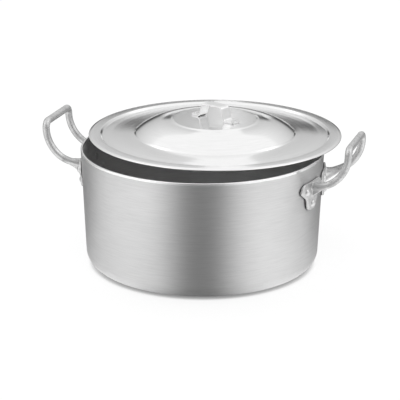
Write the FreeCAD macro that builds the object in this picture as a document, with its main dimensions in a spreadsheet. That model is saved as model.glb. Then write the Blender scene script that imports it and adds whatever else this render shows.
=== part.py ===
import FreeCAD, Part
import math
import os

import Sketcher

# A two-handled catering kettle of aluminium with a loose lid, in millimetres.
# The origin is the centre of the base's underside, +Z is up, and the two loop
# handles lie along +X and -X. The lid stands ajar: it is slid towards +Y and
# lies on the rim with the lowest ring of its pan.

SIZES = {
    # kettle shell
    "rim_radius": 225.0,
    "kettle_height": 220.0,
    "wall_taper": 2.27,
    "wall": 4.0,
    "base_thickness": 5.0,
    "base_corner": 27.0,
    "rim_rounding": 0.9,
    # loop handles; drops are measured down from the rim
    "foot_angle": 11.4,
    "foot_thickness": 5.0,
    "foot_top_drop": 30.0,
    "foot_bottom_drop": 84.0,
    "foot_half_width": 39.0,
    "stem_half_width": 16.0,
    "arm_drop": 47.0,
    "neck_drop": 61.0,
    "neck_half_width": 21.0,
    "foot_corner_rounding": 14.0,
    "arm_rounding": 8.0,
    "neck_rounding": 6.0,
    "foot_edge_rounding": 1.8,
    "rod_diameter": 13.5,
    "leg_set_out": 11.9,
    "leg_drop": 43.0,
    "root_splay": 27.0,
    "root_slope": 15.0,
    "leg_slope": 38.7,
    "leg_bend": 64.0,
    "bar_reach": 63.0,
    "bar_rise": 36.3,
    "bar_bend": 11.0,
    "gusset_splay": 16.0,
    "gusset_thickness": 9.0,
    "gusset_top_drop": 32.0,
    "gusset_bottom_drop": 58.0,
    "gusset_reach": 36.0,
    "gusset_crest": 22.0,
    "gusset_nose": 3.4,
    # handle rivets
    "rivet_angle": 5.6,
    "upper_rivet_drop": 46.0,
    "lower_rivet_drop": 72.0,
    "rivet_shank": 8.0,
    "rivet_head": 14.0,
    "rivet_head_height": 5.0,
    "rivet_inner_head": 16.0,
    "rivet_inner_height": 2.5,
    "hole_clearance": 0.1,
    "head_bite": 0.15,
    # lid pan; heights are measured from the flange's upper face
    "lid_sheet": 1.5,
    "lid_overhang": 13.5,
    "lid_edge_bead": 3.4,
    "lid_edge_rounding": 1.5,
    "lid_fit_gap": 4.5,
    "lid_seat_gap": 0.3,
    "lid_slide_back": 78.0,
    "step_run": 3.5,
    "step_depth": 5.0,
    "annulus_width": 64.0,
    "annulus_curve": 400.0,
    "dome_foot_drop": 0.5,
    "dome_shoulder_run": 3.0,
    "dome_shoulder_rise": 3.5,
    "dome_curve": 150.0,
    "dome_run": 67.0,
    "plateau_height": 26.0,
    "plateau_rounding": 8.0,
    "dome_foot_rounding": 3.0,
    "step_rounding": 2.0,
    # strap handle of the lid
    "strap_angle": -23.4,
    "strap_length": 107.0,
    "strap_width": 22.5,
    "strap_sheet": 2.8,
    "strap_height": 28.5,
    "strap_gap": 59.0,
    "strap_crown": 47.0,
    "strap_bend": 5.0,
    "strap_end_rounding": 6.0,
    "strap_rivet_inset": 7.5,
    "strap_rivet_shank": 5.0,
    "strap_rivet_head": 10.5,
    "strap_rivet_height": 3.2,
    "strap_rivet_inner_height": 1.6,
}

# How near a measured edge has to be to the place it is looked for.
NEAR = 0.02
# A rivet hole in a sheet is cut from one sheet above it to one sheet below it.
THROUGH = 3

doc = FreeCAD.newDocument("brew_kettle")
sheet = doc.addObject("Spreadsheet::Sheet", "Sizes")
for row, (alias, number) in enumerate(SIZES.items(), start=1):
    sheet.set("A%d" % row, alias)
    sheet.set("B%d" % row, str(number))
    sheet.setAlias("B%d" % row, alias)
doc.recompute()


class Size:
    """A number together with the sheet expression that gives it."""

    def __init__(self, value, text):
        self.value = float(value)
        self.text = text

    def __add__(self, other):
        other = as_size(other)
        return Size(self.value + other.value, "(%s + %s)" % (self.text, other.text))

    def __sub__(self, other):
        other = as_size(other)
        return Size(self.value - other.value, "(%s - %s)" % (self.text, other.text))

    def __mul__(self, other):
        other = as_size(other)
        return Size(self.value * other.value, "(%s * %s)" % (self.text, other.text))

    def __truediv__(self, other):
        other = as_size(other)
        return Size(self.value / other.value, "(%s / %s)" % (self.text, other.text))

    def __rmul__(self, other):
        return as_size(other) * self

    def __neg__(self):
        return Size(-self.value, "(-1 * %s)" % self.text)


def as_size(number):
    if isinstance(number, Size):
        return number
    return Size(number, repr(float(number)))


def cell(alias):
    return Size(sheet.get(alias), "Sizes." + alias)


def sin(angle):
    return Size(math.sin(math.radians(angle.value)), "sin(%s)" % angle.text)


def cos(angle):
    return Size(math.cos(math.radians(angle.value)), "cos(%s)" % angle.text)


def tan(angle):
    return Size(math.tan(math.radians(angle.value)), "tan(%s)" % angle.text)


def wall_radius(height):
    """Outer radius of the tapered wall at a height above the base."""
    return cell("rim_radius") - (cell("kettle_height") - height) * tan(cell("wall_taper"))


def below_rim(drop):
    return cell("kettle_height") - drop


# Drawing helpers

def new_body(label):
    body = doc.addObject("PartDesign::Body", label)
    body.Label = label
    return body


def origin_plane(body, role):
    return next(item for item in body.Origin.OriginFeatures if item.Role == role)


def new_sketch(body, name, role, offset=None, turn=None, tilt=None):
    """A sketch on an origin plane, moved out along its normal and turned about the plane's axes."""
    sketch = body.newObject("Sketcher::SketchObject", name)
    sketch.AttachmentSupport = [(origin_plane(body, role), "")]
    sketch.MapMode = "FlatFace"
    rotation = FreeCAD.Rotation()
    if turn is not None:
        rotation = FreeCAD.Rotation(FreeCAD.Vector(0, 1, 0), turn.value)
    if tilt is not None:
        rotation = rotation * FreeCAD.Rotation(FreeCAD.Vector(1, 0, 0), tilt.value)
    sketch.AttachmentOffset = FreeCAD.Placement(FreeCAD.Vector(), rotation)
    if offset is not None:
        for axis, size in zip("xyz", offset):
            sketch.setExpression("AttachmentOffset.Base.%s" % axis, as_size(size).text)
    return sketch


def drive(sketch, kind, *references):
    """Add a dimension whose last reference is a Size, and bind it to the sheet."""
    size = references[-1]
    index = sketch.addConstraint(Sketcher.Constraint(kind, *references[:-1], size.value))
    sketch.setExpression("Constraints[%d]" % index, size.text)


def pin_point(sketch, edge, end, point):
    drive(sketch, "DistanceX", -1, 1, edge, end, as_size(point[0]))
    drive(sketch, "DistanceY", -1, 1, edge, end, as_size(point[1]))


def arc_between(start, finish, radius):
    """A counter-clockwise arc of less than half a turn from start to finish."""
    chord = finish - start
    middle = (start + finish) / 2
    rise = math.sqrt(radius ** 2 - (chord.Length / 2) ** 2)
    inward = FreeCAD.Vector(-chord.y, chord.x, 0) / chord.Length
    centre = middle + inward * rise
    circle = Part.Circle(centre, FreeCAD.Vector(0, 0, 1), radius)
    return Part.ArcOfCircle(circle, circle.parameter(start), circle.parameter(finish))


def draw_outline(sketch, corners):
    """A closed outline. Each corner is (x, y), or (x, y, radius) where the edge that
    leaves it is an arc: positive radii turn counter-clockwise."""
    points = [FreeCAD.Vector(as_size(c[0]).value, as_size(c[1]).value, 0) for c in corners]
    ends = []
    for number, corner in enumerate(corners):
        start = points[number]
        finish = points[(number + 1) % len(points)]
        if len(corner) == 2:
            edge = sketch.addGeometry(Part.LineSegment(start, finish), False)
            ends.append((edge, 1, 2))
        elif corner[2].value > 0:
            edge = sketch.addGeometry(arc_between(start, finish, corner[2].value), False)
            ends.append((edge, 1, 2))
        else:
            edge = sketch.addGeometry(arc_between(finish, start, -corner[2].value), False)
            ends.append((edge, 2, 1))
    for number, corner in enumerate(corners):
        edge, start, finish = ends[number]
        following, next_start, _ = ends[(number + 1) % len(ends)]
        sketch.addConstraint(Sketcher.Constraint("Coincident", edge, finish, following, next_start))
        pin_point(sketch, edge, start, corner)
        if len(corner) == 3:
            radius = corner[2] if corner[2].value > 0 else -corner[2]
            drive(sketch, "Radius", edge, radius)


def draw_circle(sketch, centre, diameter):
    place = FreeCAD.Vector(as_size(centre[0]).value, as_size(centre[1]).value, 0)
    circle = Part.Circle(place, FreeCAD.Vector(0, 0, 1), diameter.value / 2)
    edge = sketch.addGeometry(circle, False)
    pin_point(sketch, edge, 3, centre)
    drive(sketch, "Diameter", edge, diameter)


def revolve(body, name, sketch, kind="PartDesign::Revolution"):
    """A full turn of a sketch about its own vertical axis."""
    feature = body.newObject(kind, name)
    feature.Profile = sketch
    feature.ReferenceAxis = (sketch, ["V_Axis"])
    feature.Angle = 360
    return feature


def pad(body, name, sketch, length, both_ways=False):
    feature = body.newObject("PartDesign::Pad", name)
    feature.Profile = sketch
    feature.setExpression("Length", length.text)
    feature.Midplane = both_ways
    return feature


def pocket(body, name, sketch, length):
    feature = body.newObject("PartDesign::Pocket", name)
    feature.Profile = sketch
    feature.setExpression("Length", length.text)
    return feature


def round_edges(body, name, chosen, radius):
    """A fillet on the edges of the body's last feature that the given test accepts."""
    doc.recompute()
    base = body.Tip
    edges = ["Edge%d" % number for number, edge in enumerate(base.Shape.Edges, start=1)
             if chosen(edge)]
    feature = body.newObject("PartDesign::Fillet", name)
    feature.Base = (base, edges)
    feature.setExpression("Radius", radius.text)
    return feature


def ring_at(*rings):
    """A test for the circular edges about the Z axis at the given (radius, height) pairs."""
    def chosen(edge):
        if not isinstance(edge.Curve, Part.Circle):
            return False
        for radius, height in rings:
            if abs(edge.Curve.Radius - radius.value) < NEAR:
                if abs(edge.Curve.Center.z - height.value) < NEAR:
                    return True
        return False
    return chosen


# Kettle shell: a spun and drawn pot with a tapered wall and a rounded base corner

FOOT_PLACES = {"right_front": (0, -1), "right_rear": (0, 1),
               "left_rear": (180, -1), "left_front": (180, 1)}


def rivet_places(half):
    """Name, angle from the handle's middle and drop from the rim of one foot's rivets."""
    middle = cell("foot_angle") * half
    return [("outer", middle + cell("rivet_angle") * half, cell("upper_rivet_drop")),
            ("inner", middle - cell("rivet_angle") * half, cell("upper_rivet_drop")),
            ("lower", middle, cell("lower_rivet_drop"))]


def bore_rivet_hole(body, name, angle, drop):
    """A hole square to the tapered wall, cut inwards from outside the handle's feet."""
    stand_off = cell("foot_thickness") + cell("wall")
    outside = wall_radius(below_rim(drop)) + stand_off * cos(cell("wall_taper"))
    place = (outside * sin(angle), below_rim(drop) - stand_off * sin(cell("wall_taper")),
             outside * cos(angle))
    sketch = new_sketch(body, name + "_circle", "YZ_Plane", place, angle, cell("wall_taper"))
    draw_circle(sketch, (0, 0), cell("rivet_shank") + cell("hole_clearance"))
    pocket(body, name, sketch, stand_off + cell("wall") * 2)


def build_shell():
    body = new_body("kettle_shell")
    height = cell("kettle_height")
    inner = cell("wall") / cos(cell("wall_taper"))
    section = new_sketch(body, "shell_section", "XZ_Plane")
    draw_outline(section, [
        (0, 0),
        (wall_radius(as_size(0)), 0),
        (wall_radius(height), height),
        (wall_radius(height) - inner, height),
        (wall_radius(cell("base_thickness")) - inner, cell("base_thickness")),
        (0, cell("base_thickness")),
    ])
    revolve(body, "shell_turn", section)
    round_edges(body, "outer_corner", ring_at((wall_radius(as_size(0)), as_size(0))),
                cell("base_corner"))
    round_edges(body, "inner_corner",
                ring_at((wall_radius(cell("base_thickness")) - inner, cell("base_thickness"))),
                cell("base_corner") - cell("wall"))
    round_edges(body, "rim_edges",
                ring_at((wall_radius(height), height), (wall_radius(height) - inner, height)),
                cell("rim_rounding"))
    for foot, (turned, half) in FOOT_PLACES.items():
        for place, angle, drop in rivet_places(half):
            bore_rivet_hole(body, "hole_%s_%s" % (foot, place), angle + turned, drop)
    return body


# Loop handle: one casting with two riveted feet, two legs and a level bar

def on_foot_face(edge):
    """True for the outline edges of the foot's outer, conical face."""
    for share in (0.1, 0.5, 0.9):
        first, last = edge.ParameterRange
        point = edge.valueAt(first + (last - first) * share)
        radius = math.hypot(point.x, point.y)
        face = wall_radius(as_size(point.z)).value + cell("foot_thickness").value
        if abs(radius - face) > NEAR:
            return False
    return True


def trim_to_wall(body, name, first, last):
    """Cut away the ring between two distances outside the kettle's wall."""
    low = below_rim(cell("foot_bottom_drop") + cell("rod_diameter"))
    high = cell("kettle_height") + cell("bar_rise") + cell("rod_diameter")
    sketch = new_sketch(body, name + "_section", "XZ_Plane")
    draw_outline(sketch, [
        (wall_radius(low) + first, low), (wall_radius(low) + last, low),
        (wall_radius(high) + last, high), (wall_radius(high) + first, high),
    ])
    return revolve(body, name, sketch, "PartDesign::Groove")


def foot_middle():
    """Reach and sideways place of the middle of a foot, on the kettle's wall."""
    radius = wall_radius(below_rim(cell("leg_drop")))
    return radius * cos(cell("foot_angle")), radius * sin(cell("foot_angle"))


def build_foot(body):
    """The tee-shaped foot plate, cut to lie against the tapered wall."""
    centre = foot_middle()[1]
    start = cell("rim_radius") - cell("foot_half_width")
    outline = new_sketch(body, "foot_outline", "YZ_Plane", (0, 0, start))
    top = below_rim(cell("foot_top_drop"))
    arm = below_rim(cell("arm_drop"))
    neck = below_rim(cell("neck_drop"))
    bottom = below_rim(cell("foot_bottom_drop"))
    wide, narrow, waist = (cell(name) for name in
                           ("foot_half_width", "stem_half_width", "neck_half_width"))
    draw_outline(outline, [
        (centre + wide, top), (centre - wide, top), (centre - wide, arm),
        (centre - waist, neck), (centre - narrow, bottom),
        (centre + narrow, bottom), (centre + waist, neck), (centre + wide, arm),
    ])
    pad(body, "foot_block", outline, cell("foot_half_width") + cell("rod_diameter"))
    corners = [
        ("foot_top_corners", wide, top, cell("foot_corner_rounding")),
        ("foot_arm_corners", wide, arm, cell("arm_rounding")),
        ("foot_necks", waist, neck, cell("neck_rounding")),
        ("foot_bottom_corners", narrow, bottom, cell("foot_corner_rounding")),
    ]
    for name, half, height, radius in corners:
        def at_corner(edge):
            middle = edge.valueAt(sum(edge.ParameterRange) / 2)
            beside = abs(abs(middle.y - centre.value) - half.value) < NEAR
            return beside and abs(middle.z - height.value) < NEAR
        round_edges(body, name, at_corner, radius)
    trim_to_wall(body, "foot_face", cell("foot_thickness"), cell("rim_radius"))
    round_edges(body, "foot_rim", on_foot_face, cell("foot_edge_rounding"))


def build_gusset(body):
    """The web that stiffens the leg where it leaves the foot."""
    reach, side = foot_middle()
    inside = -cell("foot_thickness")
    top = below_rim(cell("gusset_top_drop"))
    bottom = below_rim(cell("gusset_bottom_drop"))
    sketch = new_sketch(body, "gusset_outline", "XZ_Plane", (reach, 0, -side),
                        cell("gusset_splay"))
    draw_outline(sketch, [
        (inside, bottom), (cell("foot_thickness"), bottom),
        (cell("gusset_reach"), top - cell("gusset_nose")),
        (cell("gusset_crest"), top), (inside, top),
    ])
    pad(body, "gusset", sketch, cell("gusset_thickness"), True)


def leg_offset():
    """Sideways place of the upright stretch of a leg."""
    return foot_middle()[1] + cell("leg_set_out")


def leg_bend_ends():
    """Reach and height of both ends of the bend that turns the leg upright."""
    reach = cell("rim_radius") + cell("bar_reach")
    top = cell("kettle_height") + cell("bar_rise") - cell("bar_bend")
    start = (reach - cell("leg_bend") * (as_size(1) - sin(cell("leg_slope"))),
             top - cell("leg_bend") * cos(cell("leg_slope")))
    return start, (reach, top)


def root_curve(share):
    """Place and direction on the smooth curve from the foot to the start of the bend."""
    reach, side = foot_middle()
    (bend_reach, bend_height), _ = leg_bend_ends()
    splay, slope, rise = cell("root_splay"), cell("root_slope"), cell("leg_slope")
    run = bend_reach - reach
    first = (reach, side, below_rim(cell("leg_drop")))
    last = (bend_reach, leg_offset(), bend_height)
    leaving = (run, run * tan(splay), run / cos(splay) * tan(slope))
    arriving = (run, as_size(0), run * tan(rise))
    s = share
    place = [a * (2 * s ** 3 - 3 * s ** 2 + 1) + m * (s ** 3 - 2 * s ** 2 + s)
             + b * (3 * s ** 2 - 2 * s ** 3) + n * (s ** 3 - s ** 2)
             for a, b, m, n in zip(first, last, leaving, arriving)]
    heading = [a.value * (6 * s ** 2 - 6 * s) + m.value * (3 * s ** 2 - 4 * s + 1)
               + b.value * (6 * s - 6 * s ** 2) + n.value * (3 * s ** 2 - 2 * s)
               for a, b, m, n in zip(first, last, leaving, arriving)]
    return place, heading


def build_leg(body):
    """A root that springs from the foot, then one bend in an upright plane."""
    rings = []
    for number in range(5):
        place, heading = root_curve(number / 4)
        turn = math.degrees(math.atan2(heading[1], heading[0]))
        rise = math.degrees(math.atan2(heading[2], math.hypot(heading[0], heading[1])))
        ring = new_sketch(body, "root_ring_%d" % number, "YZ_Plane",
                          (place[1], place[2], place[0]), as_size(turn), as_size(-rise))
        draw_circle(ring, (0, 0), cell("rod_diameter"))
        rings.append(ring)
    root = body.newObject("PartDesign::AdditiveLoft", "leg_root")
    root.Profile = rings[0]
    root.Sections = rings[1:]
    (start_reach, start_height), (reach, top) = leg_bend_ends()
    bend_ring = new_sketch(body, "bend_ring", "XY_Plane",
                           (reach - cell("leg_bend"), leg_offset(), top))
    draw_circle(bend_ring, (cell("leg_bend"), 0), cell("rod_diameter"))
    bend = body.newObject("PartDesign::Revolution", "leg_bend")
    bend.Profile = bend_ring
    bend.ReferenceAxis = (bend_ring, ["V_Axis"])
    bend.setExpression("Angle", "90 - Sizes.leg_slope")


def build_bar(body):
    """A quarter-turn elbow above the leg and half of the level bar."""
    _, (reach, top) = leg_bend_ends()
    middle = leg_offset() - cell("bar_bend")
    elbow_ring = new_sketch(body, "elbow_ring", "XY_Plane", (reach, middle, top))
    draw_circle(elbow_ring, (0, cell("bar_bend")), cell("rod_diameter"))
    elbow = body.newObject("PartDesign::Revolution", "elbow")
    elbow.Profile = elbow_ring
    elbow.ReferenceAxis = (elbow_ring, ["H_Axis"])
    elbow.Angle = 90
    bar_ring = new_sketch(body, "bar_ring", "XZ_Plane",
                          (reach, cell("kettle_height") + cell("bar_rise"), 0))
    draw_circle(bar_ring, (0, 0), cell("rod_diameter"))
    bar = pad(body, "bar", bar_ring, middle)
    bar.Reversed = True


def build_handle(label, turned):
    body = new_body(label)
    build_foot(body)
    build_gusset(body)
    build_leg(body)
    build_bar(body)
    for place, angle, drop in rivet_places(1):
        bore_rivet_hole(body, "hole_" + place, angle, drop)
    doc.recompute()
    mirror = body.newObject("PartDesign::Mirrored", "other_half")
    mirror.TransformMode = "Whole shape"
    mirror.MirrorPlane = (origin_plane(body, "XZ_Plane"), [""])
    body.Tip = mirror
    trim_to_wall(body, "wall_side", -cell("rim_radius") / 2, as_size(0))
    body.Placement = FreeCAD.Placement(FreeCAD.Vector(), FreeCAD.Rotation(turned, 0, 0))
    return body


def place_body(body, position, rotation):
    body.Placement = FreeCAD.Placement(FreeCAD.Vector(), rotation)
    for axis, size in zip("xyz", position):
        body.setExpression("Placement.Base.%s" % axis, as_size(size).text)


def cap_radius(half_width, height):
    """Radius of a dome of the given half width and height."""
    return (half_width * half_width + height * height) / (height * 2)


def build_rivet(label, head, height, inner_head, inner_height, shank, grip):
    """A set rivet about its own Z axis: the face it is driven from is at height 0 and
    the pieces it holds together lie below, down to the grip."""
    body = new_body(label)
    bite = cell("head_bite")
    section = new_sketch(body, label + "_section", "XZ_Plane")
    draw_outline(section, [
        (0, -grip - inner_height + bite, cap_radius(inner_head / 2, inner_height)),
        (inner_head / 2, -grip + bite),
        (shank / 2, -grip + bite),
        (shank / 2, -bite),
        (head / 2, -bite, cap_radius(head / 2, height)),
        (0, height - bite),
    ])
    revolve(body, label + "_turn", section)
    return body


def build_handle_rivets():
    face = cell("foot_thickness")
    for foot, (turned, half) in FOOT_PLACES.items():
        for place, angle, drop in rivet_places(half):
            body = build_rivet("rivet_%s_%s" % (foot, place), cell("rivet_head"),
                               cell("rivet_head_height"), cell("rivet_inner_head"),
                               cell("rivet_inner_height"), cell("rivet_shank"),
                               face + cell("wall"))
            angle = angle + turned
            radius = wall_radius(below_rim(drop)) + face * cos(cell("wall_taper"))
            position = (radius * cos(angle), radius * sin(angle),
                        below_rim(drop) - face * sin(cell("wall_taper")))
            rotation = FreeCAD.Rotation(angle.value, 90 + cell("wall_taper").value, 0)
            place_body(body, position, rotation)


# Lid: a spun pan with a flat flange, a step that drops inside the rim and a raised dome

def mitre(run, rise):
    """Tangent of half the angle of a slope, for the corner of an even sheet."""
    slant = Size(math.hypot(run.value, rise.value),
                 "sqrt(%s ^ 2 + %s ^ 2)" % (run.text, rise.text))
    return (slant - run) / rise


def lid_position(height):
    """A height above the flange's upper face, where the lid lies slid back on the rim."""
    seat = cell("kettle_height") + cell("lid_seat_gap")
    return (as_size(0), cell("lid_slide_back"), seat + cell("lid_sheet") + cell("step_depth") + height)


def strap_rivet_offset():
    return cell("strap_length") / 2 - cell("strap_rivet_inset")


def build_lid_pan():
    body = new_body("lid_pan")
    skin = cell("lid_sheet")
    bead = cell("lid_edge_bead")
    edge_radius = cell("rim_radius") + cell("lid_overhang")
    step_radius = cell("rim_radius") - cell("wall") - cell("lid_fit_gap")
    dome_radius = step_radius - cell("annulus_width")
    plateau_radius = dome_radius - cell("dome_run")
    flange = as_size(0)
    plateau = cell("plateau_height")
    foot = -cell("dome_foot_drop")
    shoulder_radius = dome_radius - cell("dome_shoulder_run")
    shoulder = foot + cell("dome_shoulder_rise")
    ring = step_radius - cell("step_run")
    floor = -cell("step_depth")
    dome_shift = skin * mitre(cell("dome_shoulder_run"), cell("dome_shoulder_rise"))
    step_shift = skin * mitre(cell("step_run"), cell("step_depth"))
    section = new_sketch(body, "pan_section", "XZ_Plane")
    draw_outline(section, [
        (0, plateau),
        (plateau_radius, plateau, -cell("dome_curve")),
        (shoulder_radius, shoulder),
        (dome_radius, foot, cell("annulus_curve")),
        (ring, floor),
        (step_radius, flange),
        (edge_radius, flange),
        (edge_radius, -bead),
        (edge_radius - bead, -bead),
        (edge_radius - bead, -skin),
        (step_radius + step_shift, -skin),
        (ring + step_shift, floor - skin, -cell("annulus_curve") - skin),
        (dome_radius - dome_shift, foot - skin),
        (shoulder_radius - dome_shift, shoulder - skin, cell("dome_curve") - skin),
        (plateau_radius, plateau - skin),
        (0, plateau - skin),
    ])
    revolve(body, "pan_turn", section)
    round_edges(body, "plateau_crease", ring_at((plateau_radius, plateau)),
                cell("plateau_rounding"))
    round_edges(body, "plateau_underside", ring_at((plateau_radius, plateau - skin)),
                cell("plateau_rounding") - skin)
    round_edges(body, "dome_foot", ring_at((dome_radius, foot)),
                cell("dome_foot_rounding"))
    round_edges(body, "dome_foot_underside",
                ring_at((dome_radius - dome_shift, foot - skin)),
                cell("dome_foot_rounding") + skin)
    round_edges(body, "step_corners", ring_at((ring, floor), (step_radius, flange)),
                cell("step_rounding"))
    round_edges(body, "step_underside", ring_at((ring + step_shift, floor - skin)),
                cell("step_rounding") + skin)
    round_edges(body, "edge_bead",
                ring_at((edge_radius, flange), (edge_radius, -bead)),
                cell("lid_edge_rounding"))
    for side in (-1, 1):
        name = "strap_hole_%s" % ("near" if side < 0 else "far")
        circle = new_sketch(body, name + "_circle", "XY_Plane", (0, 0, plateau + skin))
        reach = strap_rivet_offset() * side
        centre = (reach * cos(cell("strap_angle")), reach * sin(cell("strap_angle")))
        draw_circle(circle, centre, cell("strap_rivet_shank") + cell("hole_clearance"))
        pocket(body, name, circle, skin * THROUGH)
    place_body(body, lid_position(0), FreeCAD.Rotation())
    return body


def build_strap():
    """The lid's handle: a bent flat strip, riveted through its two ends."""
    body = new_body("lid_strap_handle")
    end = cell("strap_length") / 2
    skin = cell("strap_sheet")
    top = cell("strap_height")
    gap = cell("strap_gap") / 2
    crown = cell("strap_crown") / 2
    bend_shift = skin * mitre(gap - crown, top - skin)
    outline = new_sketch(body, "strap_outline", "XZ_Plane")
    draw_outline(outline, [
        (end, 0), (end, skin), (gap + bend_shift, skin), (crown, top),
        (-crown, top), (-gap - bend_shift, skin), (-end, skin), (-end, 0),
        (-gap, 0), (bend_shift - crown, top - skin), (crown - bend_shift, top - skin), (gap, 0),
    ])
    pad(body, "strap_strip", outline, cell("strap_width"), True)

    def bend_at(*places):
        def chosen(edge):
            middle = edge.valueAt(sum(edge.ParameterRange) / 2)
            return any(abs(abs(middle.x) - x.value) < NEAR and abs(middle.z - z.value) < NEAR
                       for x, z in places)
        return chosen

    round_edges(body, "strap_outer_bends", bend_at((crown, top), (gap, as_size(0))),
                cell("strap_bend") + skin)
    round_edges(body, "strap_inner_bends",
                bend_at((crown - bend_shift, top - skin), (gap + bend_shift, skin)),
                cell("strap_bend"))
    round_edges(body, "strap_ends", bend_at((end, skin / 2)), cell("strap_end_rounding"))
    for side in (-1, 1):
        name = "foot_hole_%s" % ("near" if side < 0 else "far")
        circle = new_sketch(body, name + "_circle", "XY_Plane", (0, 0, skin * 2))
        draw_circle(circle, (strap_rivet_offset() * side, 0),
                    cell("strap_rivet_shank") + cell("hole_clearance"))
        pocket(body, name, circle, skin * THROUGH)
    place_body(body, lid_position(cell("plateau_height")),
               FreeCAD.Rotation(cell("strap_angle").value, 0, 0))
    return body


def build_lid_rivets():
    skin = cell("strap_sheet")
    for side in (-1, 1):
        body = build_rivet("lid_rivet_%s" % ("near" if side < 0 else "far"),
                           cell("strap_rivet_head"), cell("strap_rivet_height"),
                           cell("strap_rivet_head"), cell("strap_rivet_inner_height"),
                           cell("strap_rivet_shank"), skin + cell("lid_sheet"))
        x, y, z = lid_position(cell("plateau_height") + skin)
        reach = strap_rivet_offset() * side
        position = (x + reach * cos(cell("strap_angle")), y + reach * sin(cell("strap_angle")), z)
        place_body(body, position, FreeCAD.Rotation())


build_shell()
build_handle("handle_right", 0)
build_handle("handle_left", 180)
build_handle_rivets()
build_lid_pan()
build_strap()
build_lid_rivets()
doc.recompute()

failed = [item.Name for item in doc.Objects
          if any(word in item.State for word in ("Invalid", "Error"))]
if failed:
    raise RuntimeError("these objects failed: " + ", ".join(failed))

os.makedirs("parts", exist_ok=True)
for body in doc.Objects:
    if body.TypeId != "PartDesign::Body":
        continue
    shape = body.Shape
    if shape.isNull() or not shape.isValid() or len(shape.Solids) != 1:
        raise RuntimeError("%s is not one valid solid" % body.Label)
    shape.exportStep("parts/%s.step" % body.Label)
    box = shape.BoundBox
    print("%-28s %10.0f mm3  x %7.1f..%7.1f  y %7.1f..%7.1f  z %7.1f..%7.1f"
          % (body.Label, shape.Volume, box.XMin, box.XMax, box.YMin, box.YMax, box.ZMin, box.ZMax))
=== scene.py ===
import math

import bmesh
import bpy
from mathutils import Matrix, Vector


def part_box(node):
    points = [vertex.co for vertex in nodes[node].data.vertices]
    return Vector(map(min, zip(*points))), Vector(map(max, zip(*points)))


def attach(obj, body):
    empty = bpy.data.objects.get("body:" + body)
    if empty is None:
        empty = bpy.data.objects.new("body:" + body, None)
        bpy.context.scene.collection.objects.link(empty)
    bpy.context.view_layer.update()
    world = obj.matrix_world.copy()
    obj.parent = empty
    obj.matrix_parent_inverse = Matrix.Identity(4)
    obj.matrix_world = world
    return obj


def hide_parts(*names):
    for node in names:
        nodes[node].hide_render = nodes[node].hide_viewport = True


# A wide, low aluminium kettle with two riveted loop handles and a loose lid that lies
# ajar on the rim, in a pale studio. Lengths are metres. The kettle's own axis is the
# Z axis, the handles lie along X and the lid is slid towards +Y.

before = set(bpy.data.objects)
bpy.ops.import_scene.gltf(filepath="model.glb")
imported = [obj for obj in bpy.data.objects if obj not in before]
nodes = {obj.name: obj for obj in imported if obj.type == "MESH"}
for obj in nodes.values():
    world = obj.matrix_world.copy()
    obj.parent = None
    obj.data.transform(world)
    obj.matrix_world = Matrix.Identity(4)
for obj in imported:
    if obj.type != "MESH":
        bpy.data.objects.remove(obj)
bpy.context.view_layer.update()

# Places taken from the construction model
_, SHELL_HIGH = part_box("kettle_shell")
RIM_RADIUS = SHELL_HIGH.x
RIM_HEIGHT = SHELL_HIGH.z
LID_LOW, LID_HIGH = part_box("lid_pan")
LID_RADIUS = (LID_HIGH.x - LID_LOW.x) / 2
LID_CENTRE = Vector(((LID_LOW.x + LID_HIGH.x) / 2, (LID_LOW.y + LID_HIGH.y) / 2, 0))
WALL_TAPER = math.tan(math.radians(2.27))


# Camera: its stand is measured from the middle of the kettle's rim

CAMERA_TURN = math.radians(17.6)
CAMERA_PITCH = 0.32418
CAMERA_ROLL = 0.00415
CAMERA_ASIDE = -0.00416
CAMERA_DISTANCE = 2.925
CAMERA_RISE = 0.87837
LENS_LENGTH = 148.55
SENSOR_WIDTH = 36.0


def make_camera():
    """A long lens at a low angle, turned so that the right handle comes towards it."""
    data = bpy.data.cameras.new("studio_camera")
    data.sensor_width = SENSOR_WIDTH
    data.lens = LENS_LENGTH
    camera = bpy.data.objects.new("studio_camera", data)
    aim = Matrix.Rotation(CAMERA_TURN, 4, "Z")
    stand = Vector((CAMERA_ASIDE, -CAMERA_DISTANCE, CAMERA_RISE + RIM_HEIGHT))
    pitch = Matrix.Rotation(math.pi / 2 - CAMERA_PITCH, 4, "X")
    tilt = pitch @ Matrix.Rotation(CAMERA_ROLL, 4, "Z")
    camera.matrix_world = aim @ Matrix.Translation(stand) @ tilt
    bpy.context.scene.collection.objects.link(camera)
    bpy.context.scene.camera = camera


# Node helpers

# The colour sockets of a Mix node, which share their names with its other sockets
MIX_COLOUR_A = 6
MIX_COLOUR_B = 7
MIX_COLOUR_RESULT = 2


def feed(tree, socket, value):
    """Link another node's output to a socket, or set a plain value on it."""
    if isinstance(value, bpy.types.NodeSocket):
        tree.links.new(value, socket)
    else:
        socket.default_value = value


def feed_by_name(tree, node, values):
    """Feed a node's inputs by their names, with an underscore for each space."""
    for name, value in values.items():
        feed(tree, node.inputs[name.replace("_", " ")], value)


def add(tree, kind, settings=None, **values):
    """A new node. Settings are its own options and values are its inputs by name."""
    node = tree.nodes.new(kind)
    for name, setting in (settings or {}).items():
        setattr(node, name, setting)
    feed_by_name(tree, node, values)
    return node


def maths(tree, operation, *terms):
    node = add(tree, "ShaderNodeMath", {"operation": operation})
    for socket, term in zip(node.inputs, terms):
        feed(tree, socket, term)
    return node.outputs[0]


def remap(tree, value, start, finish=(0.0, 1.0)):
    """A value led smoothly from one pair of numbers to another, and held beyond them."""
    node = add(tree, "ShaderNodeMapRange", {"interpolation_type": "SMOOTHSTEP"}, Value=value,
               From_Min=start[0], From_Max=start[1], To_Min=finish[0], To_Max=finish[1])
    return node.outputs[0]


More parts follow.
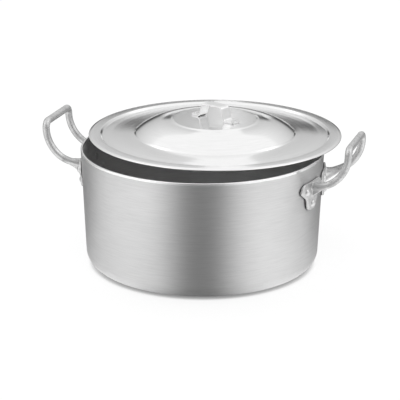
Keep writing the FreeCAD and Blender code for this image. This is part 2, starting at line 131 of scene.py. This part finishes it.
def blend(tree, share, first, second):
    """The first value where the share is 0, and the second where it is 1."""
    return add(tree, "ShaderNodeMix", Factor=share, A=first, B=second).outputs["Result"]


def own_place(tree):
    """Where a point is on the piece that the material covers."""
    return add(tree, "ShaderNodeTexCoord").outputs["Object"]


def split(tree, vector):
    """A vector's x, y and z."""
    parts = add(tree, "ShaderNodeSeparateXYZ", Vector=vector)
    return [parts.outputs[name] for name in "XYZ"]


def from_axis(tree, x, y):
    """How far a point is from the upright axis."""
    squares = [maths(tree, "MULTIPLY", side, side) for side in (x, y)]
    return maths(tree, "SQRT", maths(tree, "ADD", *squares))


def grey(tone):
    return (tone, tone, tone, 1)


def new_group(name, inputs, outputs):
    """An empty node group with named inputs, each with its default, and named outputs."""
    group = bpy.data.node_groups.new(name, "ShaderNodeTree")
    for label, kind, default in inputs:
        socket = group.interface.new_socket(label, in_out="INPUT", socket_type=kind)
        socket.default_value = default
    for label, kind in outputs:
        group.interface.new_socket(label, in_out="OUTPUT", socket_type=kind)
    return group, group.nodes.new("NodeGroupInput"), group.nodes.new("NodeGroupOutput")


def use_group(tree, group, **values):
    """A node group placed in a material, with that material's values."""
    node = tree.nodes.new("ShaderNodeGroup")
    node.node_tree = group
    feed_by_name(tree, node, values)
    return node


# Effects that several finishes share

COARSE_PITCH = 0.16
NOISE_MIDDLE = 0.5
PIT_SPACING = 0.35
PIT_EDGE = (0.05, 0.35)


def make_turned_lines():
    """Fine rings round an upright axis, as spinning and brushing on a lathe leave them."""
    group, given, result = new_group(
        "turned_lines",
        [("Centre", "NodeSocketVector", (0, 0, 0)), ("Pitch", "NodeSocketFloat", 1400.0),
         ("Drift", "NodeSocketFloat", 30.0), ("Coarse Share", "NodeSocketFloat", 0.15)],
        [("Lines", "NodeSocketFloat")])
    local = add(group, "ShaderNodeVectorMath", {"operation": "SUBTRACT"})
    feed(group, local.inputs[0], own_place(group))
    feed(group, local.inputs[1], given.outputs["Centre"])
    x, y, z = split(group, local.outputs[0])
    radius = from_axis(group, x, y)
    layers = []
    for share in (1.0, COARSE_PITCH):
        pitch = maths(group, "MULTIPLY", given.outputs["Pitch"], share)
        around = add(group, "ShaderNodeCombineXYZ",
                     X=maths(group, "MULTIPLY", x, given.outputs["Drift"]),
                     Y=maths(group, "MULTIPLY", y, given.outputs["Drift"]),
                     Z=maths(group, "MULTIPLY", z, pitch))
        layer = add(group, "ShaderNodeTexNoise", {"noise_dimensions": "4D"},
                    Vector=around.outputs[0], W=maths(group, "MULTIPLY", radius, pitch),
                    Scale=1.0, Detail=2.0, Roughness=0.6)
        layers.append(layer.outputs["Fac"])
    lines = blend(group, given.outputs["Coarse Share"], *layers)
    feed(group, result.inputs["Lines"], lines)
    return group


def make_handling_marks():
    """Soft cloudy patches where hands and cloths have been."""
    group, given, result = new_group(
        "handling_marks",
        [("Patch Size", "NodeSocketFloat", 0.05), ("Contrast", "NodeSocketFloat", 1.0)],
        [("Marks", "NodeSocketFloat")])
    scale = maths(group, "DIVIDE", 1.0, given.outputs["Patch Size"])
    cloud = add(group, "ShaderNodeTexNoise", Vector=own_place(group), Scale=scale, Detail=4.0,
                Roughness=0.55, Distortion=0.4)
    centred = maths(group, "SUBTRACT", cloud.outputs["Fac"], NOISE_MIDDLE)
    spread = maths(group, "MULTIPLY", centred, given.outputs["Contrast"])
    feed(group, result.inputs["Marks"], maths(group, "ADD", spread, NOISE_MIDDLE))
    return group


def make_cast_grain():
    """The fine pebbled skin of a sand casting that has been tumbled smooth."""
    group, given, result = new_group(
        "cast_grain",
        [("Grain Size", "NodeSocketFloat", 0.001), ("Pit Share", "NodeSocketFloat", 0.3)],
        [("Grain", "NodeSocketFloat"), ("Pits", "NodeSocketFloat")])
    place = own_place(group)
    scale = maths(group, "DIVIDE", 1.0, given.outputs["Grain Size"])
    fine = add(group, "ShaderNodeTexNoise", Vector=place, Scale=scale, Detail=3.0, Roughness=0.6)
    pits = add(group, "ShaderNodeTexVoronoi", {"feature": "F1"}, Vector=place,
               Scale=maths(group, "MULTIPLY", scale, PIT_SPACING))
    hollow = remap(group, pits.outputs["Distance"], PIT_EDGE)
    depth = maths(group, "SUBTRACT", 1.0, hollow)
    worn = maths(group, "MULTIPLY", depth, given.outputs["Pit Share"])
    grain = maths(group, "SUBTRACT", fine.outputs["Fac"], worn)
    feed(group, result.inputs["Grain"], grain)
    feed(group, result.inputs["Pits"], worn)
    return group


TURNED_LINES = make_turned_lines()
HANDLING_MARKS = make_handling_marks()
CAST_GRAIN = make_cast_grain()


# Finishes: where one is darkest, dark is its tone and rough its roughness, and where it
# is lightest, light is its tone and smooth its roughness

TURNED_SPREAD = (0.3, 0.7)
SATIN_SPREAD = (0.25, 0.7)
SEAM_SPREAD = (-0.5, 0.7)
SEAM_WIDTH = 0.0022
# Painted shade: the tone of the dark line where a handle's foot meets the kettle's wall
SEAM_SHADE_TONE = 0.03
GROOVE_DEPTH = 0.0004
GRAIN_DEPTH = 0.0003
ACROSS_RINGS = 0.25


def new_material(name, **fixed):
    """A metal material: its fixed values go on the shader's own sockets."""
    material = bpy.data.materials.new(name)
    material.use_nodes = True
    tree = material.node_tree
    shader = tree.nodes["Principled BSDF"]
    shader.inputs["Metallic"].default_value = 1.0
    feed_by_name(tree, shader, fixed)
    return material, tree, shader


def set_colour(tree, shader, value, dark, light):
    mix = add(tree, "ShaderNodeMix", {"data_type": "RGBA"}, Factor=value)
    mix.inputs[MIX_COLOUR_A].default_value = grey(dark)
    mix.inputs[MIX_COLOUR_B].default_value = grey(light)
    tree.links.new(mix.outputs[MIX_COLOUR_RESULT], shader.inputs["Base Color"])


def set_roughness(tree, shader, value):
    tree.links.new(value, shader.inputs["Roughness"])


def set_bump(tree, shader, height, strength, distance):
    bump = add(tree, "ShaderNodeBump", Height=height, Strength=strength, Distance=distance)
    tree.links.new(bump.outputs["Normal"], shader.inputs["Normal"])


def turned_tone(tree, lines, line_share, patch_size):
    """How light a turned surface is at each place: its lines, and the marks of handling."""
    marks = use_group(tree, HANDLING_MARKS, Patch_Size=patch_size).outputs["Marks"]
    return maths(tree, "ADD", maths(tree, "MULTIPLY", lines, line_share),
                 maths(tree, "MULTIPLY", marks, 1 - line_share))


def turned_metal(name, dark, light, smooth, rough, centre=(0, 0, 0), anisotropy=0.75, bump=0.06):
    """Aluminium with fine rings round its axis; their grooves stretch each reflection
    across the rings."""
    material, tree, shader = new_material(name, Anisotropic=anisotropy,
                                          Anisotropic_Rotation=ACROSS_RINGS)
    lines = use_group(tree, TURNED_LINES, Centre=centre).outputs["Lines"]
    tone = turned_tone(tree, lines, line_share=0.75, patch_size=0.12)
    set_colour(tree, shader, remap(tree, tone, TURNED_SPREAD), dark, light)
    set_roughness(tree, shader, remap(tree, tone, TURNED_SPREAD, (rough, smooth)))
    set_bump(tree, shader, lines, bump, GROOVE_DEPTH)
    tangent = add(tree, "ShaderNodeTangent", {"direction_type": "RADIAL", "axis": "Z"})
    tree.links.new(tangent.outputs[0], shader.inputs["Tangent"])
    return material


def seam_shade_mask(tree):
    """Where painted shade goes: 1 in the seam where a piece meets the kettle's wall, 0 from a
    seam's width off it.
    """
    x, y, z = split(tree, own_place(tree))
    foot_radius = RIM_RADIUS - RIM_HEIGHT * WALL_TAPER
    wall = maths(tree, "MULTIPLY_ADD", z, WALL_TAPER, foot_radius)
    gap = maths(tree, "SUBTRACT", from_axis(tree, x, y), wall)
    return remap(tree, gap, (SEAM_WIDTH, SEAM_WIDTH / 2))


def satin_metal(name, dark, light, smooth, rough, grain_size, bump, seam=False):
    """Cast or pressed aluminium without a grain direction. With a seam, its dark tone is
    painted shade in the gap between it and the kettle's wall."""
    material, tree, shader = new_material(name)
    grain = use_group(tree, CAST_GRAIN, Grain_Size=grain_size)
    marks = use_group(tree, HANDLING_MARKS, Patch_Size=0.02).outputs["Marks"]
    tone = maths(tree, "SUBTRACT", marks, grain.outputs["Pits"])
    spread = SATIN_SPREAD
    if seam:
        # Painted shade in the seam against the kettle's wall
        tone = maths(tree, "SUBTRACT", tone, seam_shade_mask(tree))
        spread = SEAM_SPREAD
    set_colour(tree, shader, remap(tree, tone, spread), dark, light)
    set_roughness(tree, shader, remap(tree, tone, SATIN_SPREAD, (rough, smooth)))
    set_bump(tree, shader, grain.outputs["Grain"], bump, GRAIN_DEPTH)
    return material


def inside_finish():
    """The dark anodised inside of the kettle, with faint turning marks."""
    material, tree, shader = new_material("dark_anodised_inside", Metallic=0.5)
    lines = use_group(tree, TURNED_LINES, Pitch=900.0).outputs["Lines"]
    tone = turned_tone(tree, lines, line_share=0.6, patch_size=0.08)
    set_colour(tree, shader, remap(tree, tone, TURNED_SPREAD), dark=0.7, light=0.82)
    set_roughness(tree, shader, remap(tree, tone, TURNED_SPREAD, (0.55, 0.4)))
    set_bump(tree, shader, lines, strength=0.1, distance=GROOVE_DEPTH)
    return material


WALL_METAL = turned_metal("brushed_wall", dark=0.785, light=0.865, smooth=0.54, rough=0.6,
                          anisotropy=0.97, bump=0.035)
RIM_METAL = turned_metal("trimmed_rim", dark=0.8, light=0.9, smooth=0.2, rough=0.3)
BASE_METAL = turned_metal("turned_underside", dark=0.6, light=0.75, smooth=0.3, rough=0.45)
LID_CENTRE_METAL = satin_metal("unspun_lid_centre", dark=0.84, light=0.9, smooth=0.16,
                               rough=0.22, grain_size=0.0012, bump=0.02)
LID_METAL = turned_metal("spun_lid", dark=0.88, light=0.94, smooth=0.1, rough=0.13,
                         centre=LID_CENTRE, anisotropy=0.8, bump=0.008)
# Painted shade: a dark band in the crease at the foot of the lid's step
LID_CREASE_SHADE = satin_metal("painted_crease_shade", dark=0.36, light=0.46, smooth=0.4, rough=0.5,
                         grain_size=0.0012, bump=0.02)
# The cast handles carry painted shade where their feet meet the kettle's wall
CAST_METAL = satin_metal("cast_handle", dark=SEAM_SHADE_TONE, light=0.68, smooth=0.46, rough=0.58,
                         grain_size=0.0016, bump=0.08, seam=True)
RIVET_METAL = satin_metal("set_rivet", dark=0.62, light=0.76, smooth=0.4, rough=0.5,
                          grain_size=0.0009, bump=0.08)
STRAP_METAL = satin_metal("pressed_strap", dark=0.8, light=0.9, smooth=0.32, rough=0.42,
                          grain_size=0.0012, bump=0.05)
INSIDE = inside_finish()


# Mesh helpers

ON_AXIS = 1e-6


def link_piece(name, mesh, body, stands_for):
    piece = bpy.data.objects.new(name, mesh)
    bpy.context.scene.collection.objects.link(piece)
    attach(piece, body)
    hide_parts(*stands_for)


def bow(start, finish, radius, steps=24):
    """Points of an arc from start to finish that bulges to the left of the way it runs,
    without its first point."""
    start, finish = Vector(start), Vector(finish)
    chord = finish - start
    middle = (start + finish) / 2
    depth = math.sqrt(radius ** 2 - (chord.length / 2) ** 2)
    centre = middle + Vector((chord.y, -chord.x)).normalized() * depth
    first, last = start - centre, finish - centre
    sweep = first.angle_signed(last)
    return [tuple(centre + Matrix.Rotation(-sweep * step / steps, 2) @ first)
            for step in range(1, steps + 1)]


def soften(corners, steps=8):
    """Section points from (radius, height, rounding, material) corners, where a corner
    with a rounding becomes an arc."""
    points = []
    for number, (radius, height, rounding, material) in enumerate(corners):
        here = Vector((radius, height))
        if not rounding:
            points.append((radius, height, material))
            continue
        before = (Vector(corners[number - 1][:2]) - here).normalized()
        after = (Vector(corners[number + 1][:2]) - here).normalized()
        half = before.angle(after) / 2
        centre = here + (before + after).normalized() * (rounding / math.sin(half))
        first = here + before * (rounding / math.tan(half)) - centre
        sweep = first.angle_signed(here + after * (rounding / math.tan(half)) - centre)
        for step in range(steps + 1):
            place = centre + Matrix.Rotation(-sweep * step / steps, 2) @ first
            points.append((place.x, place.y, material))
    return points


def lathe(name, section, centre, segments=256):
    """A closed section of (radius, height, material) points turned about an upright axis.
    A point's material covers the band from it to the next point."""
    mesh = bpy.data.meshes.new(name)
    build = bmesh.new()
    rings = []
    for radius, height, _ in section:
        if radius < ON_AXIS:
            rings.append([build.verts.new((centre.x, centre.y, height))])
            continue
        ring = []
        for step in range(segments):
            angle = 2 * math.pi * step / segments
            ring.append(build.verts.new((centre.x + radius * math.cos(angle),
                                         centre.y + radius * math.sin(angle), height)))
        rings.append(ring)
    for number in range(len(rings) - 1):
        low, high = rings[number], rings[number + 1]
        for step in range(segments):
            following = (step + 1) % segments
            if len(low) == 1:
                corners = [low[0], high[following], high[step]]
            elif len(high) == 1:
                corners = [low[step], low[following], high[0]]
            else:
                corners = [low[step], low[following], high[following], high[step]]
            face = build.faces.new(corners)
            face.material_index = section[number][2]
            face.smooth = True
    bmesh.ops.recalc_face_normals(build, faces=build.faces)
    build.to_mesh(mesh)
    build.free()
    return mesh


# Kettle

WALL = 0.004
BASE_THICKNESS = 0.005
BASE_CORNER = 0.027
RIM_ROUNDING = 0.0012
POT_ARC_STEPS = 14


def wall_radius(height):
    return RIM_RADIUS - (RIM_HEIGHT - height) * WALL_TAPER


def make_kettle():
    """The pot: brushed outside, trimmed bright at the rim and dark inside."""
    under, wall, rim, inside = 0, 1, 2, 3
    mouth = wall_radius(RIM_HEIGHT) - WALL
    section = soften([
        (0.0, 0.0, 0, under),
        (wall_radius(0.0), 0.0, BASE_CORNER, wall),
        (wall_radius(RIM_HEIGHT - WALL), RIM_HEIGHT - WALL, 0, rim),
        (wall_radius(RIM_HEIGHT), RIM_HEIGHT, RIM_ROUNDING, rim),
        (mouth, RIM_HEIGHT, RIM_ROUNDING, rim),
        (wall_radius(RIM_HEIGHT - WALL) - WALL, RIM_HEIGHT - WALL, 0, inside),
        (wall_radius(BASE_THICKNESS) - WALL, BASE_THICKNESS, BASE_CORNER - WALL, inside),
        (0.0, BASE_THICKNESS, 0, inside),
    ], steps=POT_ARC_STEPS)
    mesh = lathe("kettle_pot", section, Vector((0, 0, 0)))
    for material in (BASE_METAL, WALL_METAL, RIM_METAL, INSIDE):
        mesh.materials.append(material)
    link_piece("kettle_pot", mesh, "kettle", ["kettle_shell"])


# Lid: its heights are measured from the top face of the flange

LID_SHEET = 0.0015
EDGE_BEAD = 0.0034
EDGE_FALL = 0.005
BEAD_ROUNDING = 0.001
BEAD_INNER_ROUNDING = 0.0004
FLANGE_CROWN = 0.0002
FLANGE_RIM = 0.0
FLANGE_ROUNDING = 0.008
LID_FIT_GAP = 0.0045
STEP_RUN = 0.0035
STEP_DEPTH = 0.0036
STEP_ROUNDING = 0.0015
STEP_FOOT_ROUNDING = 0.0008
CREASE_WIDTH = 0.0006
ANNULUS_WIDTH = 0.064
# How far out from the dome's foot, and how far below it: the annulus is slightly crowned
ANNULUS_FALLS = [(0.013, 0.0003), (0.028, 0.0008), (0.042, 0.0015)]
ANNULUS_ROUNDING = 0.15
DOME_FOOT_DROP = 0.0005
DOME_FOOT_ROUNDING = 0.0012
DOME_SHOULDER_RUN = 0.0027
DOME_SHOULDER_RISE = 0.0027
DOME_SHOULDER_ROUNDING = 0.001
DOME_CURVE = 0.1135
PLATEAU_HEIGHT = 0.026
PLATEAU_FLAT = 0.079
PLATEAU_EDGE_RUN = 0.005
PLATEAU_LEDGE_RUN = 0.005
PLATEAU_LEDGE_DROP = 0.0014
PLATEAU_ROUNDING = 0.006
FLANGE_HEIGHT = LID_HIGH.z - PLATEAU_HEIGHT


def make_lid():
    """The spun pan of the lid: plateau, dome, crowned annulus, step, flange and edge."""
    spun, unspun, crease = 0, 1, 2
    step = RIM_RADIUS - WALL - LID_FIT_GAP
    step_foot = step - STEP_RUN
    dome = step - ANNULUS_WIDTH
    shoulder = dome - DOME_SHOULDER_RUN
    foot = -DOME_FOOT_DROP
    rise = foot + DOME_SHOULDER_RISE
    ledge = (PLATEAU_FLAT + PLATEAU_LEDGE_RUN, PLATEAU_HEIGHT - PLATEAU_LEDGE_DROP)
    crown = bow(ledge, (shoulder, rise), DOME_CURVE)
    annulus = [(dome + run, foot - fall) for run, fall in ANNULUS_FALLS]
    top = [(0.0, PLATEAU_HEIGHT, 0, unspun),
           (PLATEAU_FLAT - PLATEAU_EDGE_RUN, PLATEAU_HEIGHT, 0, unspun),
           (PLATEAU_FLAT, PLATEAU_HEIGHT, PLATEAU_ROUNDING, spun),
           (*ledge, PLATEAU_ROUNDING, spun)]
    # The crown's ends are left to the roundings of the ledge and the shoulder
    top += [(*point, 0, spun) for point in crown[2:-1]]
    top += [(shoulder, rise, DOME_SHOULDER_ROUNDING, spun),
            (dome, foot, DOME_FOOT_ROUNDING, spun)]
    top += [(*point, ANNULUS_ROUNDING, spun) for point in annulus]
    # The narrow band at the step's foot is the crease with painted shade
    top += [(step_foot - CREASE_WIDTH, -STEP_DEPTH, 0, crease),
            (step_foot, -STEP_DEPTH, STEP_FOOT_ROUNDING, spun),
            (step, FLANGE_CROWN, STEP_ROUNDING, spun),
            (LID_RADIUS - EDGE_FALL, FLANGE_RIM, FLANGE_ROUNDING, spun),
            (LID_RADIUS, -EDGE_BEAD / 2, BEAD_ROUNDING, spun),
            (LID_RADIUS, -EDGE_BEAD, BEAD_ROUNDING, spun)]
    bead = [(LID_RADIUS - EDGE_BEAD, -EDGE_BEAD, BEAD_INNER_ROUNDING, spun),
            (LID_RADIUS - EDGE_BEAD, -LID_SHEET, 0, spun)]
    upper_face = [(step, 0.0), (step_foot, -STEP_DEPTH), *reversed(annulus), (dome, foot),
                  *reversed(crown), (PLATEAU_FLAT, PLATEAU_HEIGHT), (0.0, PLATEAU_HEIGHT)]
    below = [(radius, height - LID_SHEET, 0, spun) for radius, height in upper_face]
    raised = [(radius, height + FLANGE_HEIGHT, rounding, material)
              for radius, height, rounding, material in top + bead + below]
    mesh = lathe("lid_dome", soften(raised), LID_CENTRE)
    for material in (LID_METAL, LID_CENTRE_METAL, LID_CREASE_SHADE):
        mesh.materials.append(material)
    link_piece("lid_dome", mesh, "lid", ["lid_pan"])


# Handles and rivets

CAST_STEP = 0.0011
CAST_ROUNDS = 5
PRESSED_STEP = 0.0005
PRESSED_ROUNDS = 3
TUMBLING_STRENGTH = 0.5


def soften_edges(name, node_name, body, material, step, rounds):
    """A piece in the drawn shape of its node, with every edge run soft by tumbling."""
    draft = bpy.data.objects.new(name, nodes[node_name].data.copy())
    bpy.context.scene.collection.objects.link(draft)
    skin = draft.modifiers.new("skin", "REMESH")
    skin.mode = "VOXEL"
    skin.voxel_size = step
    skin.use_smooth_shade = True
    tumbling = draft.modifiers.new("tumbling", "SMOOTH")
    tumbling.factor = TUMBLING_STRENGTH
    tumbling.iterations = rounds
    tumbled = draft.evaluated_get(bpy.context.evaluated_depsgraph_get())
    mesh = bpy.data.meshes.new_from_object(tumbled)
    bpy.data.objects.remove(draft)
    mesh.name = name
    mesh.materials.clear()
    mesh.materials.append(material)
    link_piece(name, mesh, body, [node_name])


make_kettle()
make_lid()
for side in ("right", "left"):
    soften_edges("cast_handle_" + side, "handle_" + side, "kettle", CAST_METAL,
                 CAST_STEP, CAST_ROUNDS)
soften_edges("pressed_strap", "lid_strap_handle", "lid", STRAP_METAL,
             PRESSED_STEP, PRESSED_ROUNDS)
for name, node in nodes.items():
    if "rivet" in name:
        node.data.materials.clear()
        node.data.materials.append(RIVET_METAL)


# Studio: turns round the kettle and lifts above the eye line are in degrees, and its
# tones are what the metal shows, where 1 is white

STUDIO_TURN = math.radians(16.1)
EYE_LINE = 0.24
WORLD_LIGHT = 0.7
WORLD_SHOWN = 1.0

# The turns over which the studio grows light towards its sides, and dim behind them
TO_SIDE = (6.0, 48.0)
TO_BACK = (78.0, 135.0)

FLOOR_HALF = 6.0
FLOOR_DROP = 0.0003
PAPER_TONE = 0.3
PAPER_GLOW = 0.8
CONTACT_WIDTH = 0.01
CONTACT_SAMPLES = 8
CONTACT_SHADE = (0.3, 1.0)

SURROUND_RADIUS = 5.0
SURROUND_STEPS = 720
FRONT_TOP = 60.0
BACK_TOP = 42.0
NOTCH_DEPTH = 22.5
NOTCH_WIDTH = 5.0
NOTCH_SHAPE = 2.2
SLOT_DEPTH = 6.5
SLOT_WIDTH = 1.2
SLOT_SHAPE = 4
SIDE_LIFT = (20.0, 34.0)
SIDE_TONES = (0.84, 2.15)

# (lift, tone) stops of the screen behind the kettle and of the gap in its middle
SCREEN_TONES = [(0, 0.06), (5, 0.12), (9, 0.5), (13, 0.58), (20, 0.68), (27, 0.755),
                (32, 0.81), (38, 0.88), (42, 1.0)]
GAP_TONES = [(0, 0.06), (2.4, 0.06), (3.2, 0.88), (11.6, 0.88), (12.2, 0.03), (14.6, 0.03),
             (15.6, 0.6)]
RAMP_TOP = 60.0
GAP_SIDE = (6.0, 9.0)
GAP_TOP = (15.0, 15.5)


def mirrored(tree, path):
    """1 for what metal and glass show, 0 for everything else."""
    glossy, through = path.outputs["Is Glossy Ray"], path.outputs["Is Transmission Ray"]
    return maths(tree, "MAXIMUM", glossy, through)


def make_studio_tone():
    """How light the studio is round the kettle: dark towards the camera, light at the two
    side screens and dim behind."""
    group, given, result = new_group(
        "studio_tone",
        [("Front", "NodeSocketFloat", 0.05), ("Side", "NodeSocketFloat", 1.0),
         ("Back", "NodeSocketFloat", 0.15)],
        [("Tone", "NodeSocketFloat")])
    x, y, _ = split(group, own_place(group))
    forward = maths(group, "MULTIPLY", y, -1.0)
    turn = maths(group, "DEGREES", maths(group, "ABSOLUTE", maths(group, "ARCTAN2", x, forward)))
    towards = blend(group, remap(group, turn, TO_SIDE), given.outputs["Front"],
                    given.outputs["Side"])
    tone = blend(group, remap(group, turn, TO_BACK), towards, given.outputs["Back"])
    feed(group, result.inputs["Tone"], tone)
    return group


STUDIO_TONE = make_studio_tone()


def make_world():
    """A plain white sky, which lights the kettle a little less brightly than it shows."""
    world = bpy.data.worlds.new("studio_world")
    bpy.context.scene.world = world
    world.use_nodes = True
    tree = world.node_tree
    background = tree.nodes["Background"]
    background.inputs["Color"].default_value = grey(1)
    path = add(tree, "ShaderNodeLightPath")
    seen = maths(tree, "MAXIMUM", path.outputs["Is Camera Ray"], mirrored(tree, path))
    strength = add(tree, "ShaderNodeMapRange", Value=seen, To_Min=WORLD_LIGHT,
                   To_Max=WORLD_SHOWN)
    tree.links.new(strength.outputs[0], background.inputs["Strength"])


def bare_material(name):
    """A material with nothing in it but its output, together with that output's surface."""
    material = bpy.data.materials.new(name)
    material.use_nodes = True
    tree = material.node_tree
    tree.nodes.clear()
    return material, tree, add(tree, "ShaderNodeOutputMaterial").inputs["Surface"]


def make_floor():
    """Pale paper, in shade along the line where the kettle's base meets it. Metal shows
    it with the studio's tones."""
    half = FLOOR_HALF
    mesh = bpy.data.meshes.new("studio_floor")
    mesh.from_pydata([(-half, -half, 0), (half, -half, 0), (half, half, 0), (-half, half, 0)],
                     [], [(0, 1, 2, 3)])
    floor = bpy.data.objects.new("studio_floor", mesh)
    floor.location.z = -FLOOR_DROP
    floor.rotation_euler.z = STUDIO_TURN
    bpy.context.scene.collection.objects.link(floor)
    material, tree, surface = bare_material("studio_paper")
    paper = add(tree, "ShaderNodeBsdfDiffuse", Color=grey(PAPER_TONE))
    path = add(tree, "ShaderNodeLightPath")
    tone = use_group(tree, STUDIO_TONE, Front=0.12, Side=1.02, Back=0.1).outputs["Tone"]
    shown = maths(tree, "MULTIPLY", mirrored(tree, path), tone)
    seen = maths(tree, "MULTIPLY", path.outputs["Is Camera Ray"], PAPER_GLOW)
    near_kettle = add(tree, "ShaderNodeAmbientOcclusion", {"samples": CONTACT_SAMPLES},
                      Distance=CONTACT_WIDTH)
    shade = remap(tree, near_kettle.outputs["AO"], (0.0, 1.0), CONTACT_SHADE)
    light = maths(tree, "MULTIPLY", maths(tree, "ADD", seen, shown), shade)
    glow = add(tree, "ShaderNodeEmission", Strength=light)
    both = add(tree, "ShaderNodeAddShader")
    tree.links.new(paper.outputs[0], both.inputs[0])
    tree.links.new(glow.outputs[0], both.inputs[1])
    tree.links.new(both.outputs[0], surface)
    mesh.materials.append(material)


def tone_ramp(tree, lift, stops):
    """The tone at each lift, led from stop to stop."""
    ramp = add(tree, "ShaderNodeValToRGB", Fac=maths(tree, "DIVIDE", lift, RAMP_TOP))
    elements = ramp.color_ramp.elements
    while len(elements) < len(stops):
        elements.new(1.0)
    for element, (stop_lift, tone) in zip(elements, stops):
        element.position = stop_lift / RAMP_TOP
        element.color = grey(tone)
    return ramp.outputs["Color"]


def make_screen_tone():
    """How light the wall behind the kettle is at each lift: a screen that grows lighter
    to its top. Straight behind the kettle it stops short of the table, and shows a dark
    line, a strip of white paper and another dark line at the table's edge."""
    group, _, result = new_group(
        "screen_tone", [], [("Tone", "NodeSocketFloat"), ("Lift", "NodeSocketFloat")])
    x, y, z = split(group, own_place(group))
    rise = maths(group, "SUBTRACT", z, EYE_LINE)
    slope = maths(group, "DIVIDE", rise, SURROUND_RADIUS)
    lift = maths(group, "DEGREES", maths(group, "ARCTANGENT", slope))
    aside = maths(group, "DEGREES", maths(group, "ABSOLUTE", maths(group, "ARCTAN2", x, y)))
    middle = remap(group, aside, GAP_SIDE, (1.0, 0.0))
    low = remap(group, lift, GAP_TOP, (1.0, 0.0))
    tone = blend(group, maths(group, "MULTIPLY", middle, low),
                 tone_ramp(group, lift, SCREEN_TONES), tone_ramp(group, lift, GAP_TONES))
    feed(group, result.inputs["Tone"], tone)
    feed(group, result.inputs["Lift"], lift)
    return group


def dip(aside, depth, width, shape):
    """How far the top of the wall dips at a turn aside of the dip's middle."""
    return depth / (1 + (aside / width) ** shape)


def make_surround():
    """The studio's wall, as the metal sees it: dark towards the camera, light at the sides
    and brighter high up, where the two side screens stand. Straight behind, it opens to
    the white ceiling in a wide notch with a narrow slot in its middle."""
    mesh = bpy.data.meshes.new("studio_surround")
    build = bmesh.new()
    rows = []
    for step in range(SURROUND_STEPS):
        angle = 2 * math.pi * step / SURROUND_STEPS
        behind = (1 - math.cos(angle)) / 2
        aside = abs(math.degrees(angle) - 180)
        lift = FRONT_TOP - (FRONT_TOP - BACK_TOP) * behind
        lift -= dip(aside, NOTCH_DEPTH, NOTCH_WIDTH, NOTCH_SHAPE)
        lift -= dip(aside, SLOT_DEPTH, SLOT_WIDTH, SLOT_SHAPE)
        place = Vector((math.sin(angle), -math.cos(angle), 0)) * SURROUND_RADIUS
        top = EYE_LINE + SURROUND_RADIUS * math.tan(math.radians(lift))
        rows.append([build.verts.new(place + Vector((0, 0, height))) for height in (0.0, top)])
    for step, row in enumerate(rows):
        following = rows[(step + 1) % SURROUND_STEPS]
        build.faces.new([row[0], following[0], following[1], row[1]])
    build.to_mesh(mesh)
    build.free()
    surround = bpy.data.objects.new("studio_surround", mesh)
    surround.rotation_euler.z = STUDIO_TURN
    surround.visible_camera = False
    surround.visible_diffuse = False
    surround.visible_shadow = False
    bpy.context.scene.collection.objects.link(surround)
    material, tree, surface = bare_material("studio_wall")
    screen = use_group(tree, make_screen_tone())
    side = remap(tree, screen.outputs["Lift"], SIDE_LIFT, SIDE_TONES)
    tone = use_group(tree, STUDIO_TONE, Front=0.17, Side=side, Back=screen.outputs["Tone"])
    glow = add(tree, "ShaderNodeEmission", Strength=tone.outputs["Tone"])
    tree.links.new(glow.outputs[0], surface)
    mesh.materials.append(material)


def make_lamp(name, turn, lift, distance, size, power):
    """A square soft lamp that looks at the kettle from a turn round it and a lift above it."""
    data = bpy.data.lights.new(name, "AREA")
    data.shape = "SQUARE"
    data.size = size
    data.energy = power
    lamp = bpy.data.objects.new(name, data)
    aim = Matrix.Rotation(CAMERA_TURN + math.radians(turn), 4, "Z")
    tilt = Matrix.Rotation(math.radians(90 - lift), 4, "X")
    target = Matrix.Translation((0, 0, RIM_HEIGHT / 2))
    lamp.matrix_world = target @ aim @ tilt @ Matrix.Translation((0, 0, distance))
    lamp.visible_glossy = False
    bpy.context.scene.collection.objects.link(lamp)


make_camera()
bpy.context.scene.view_settings.view_transform = "Standard"
make_world()
make_floor()
make_surround()
make_lamp("overhead_lamp", turn=180, lift=70, distance=2.2, size=1.6, power=6)
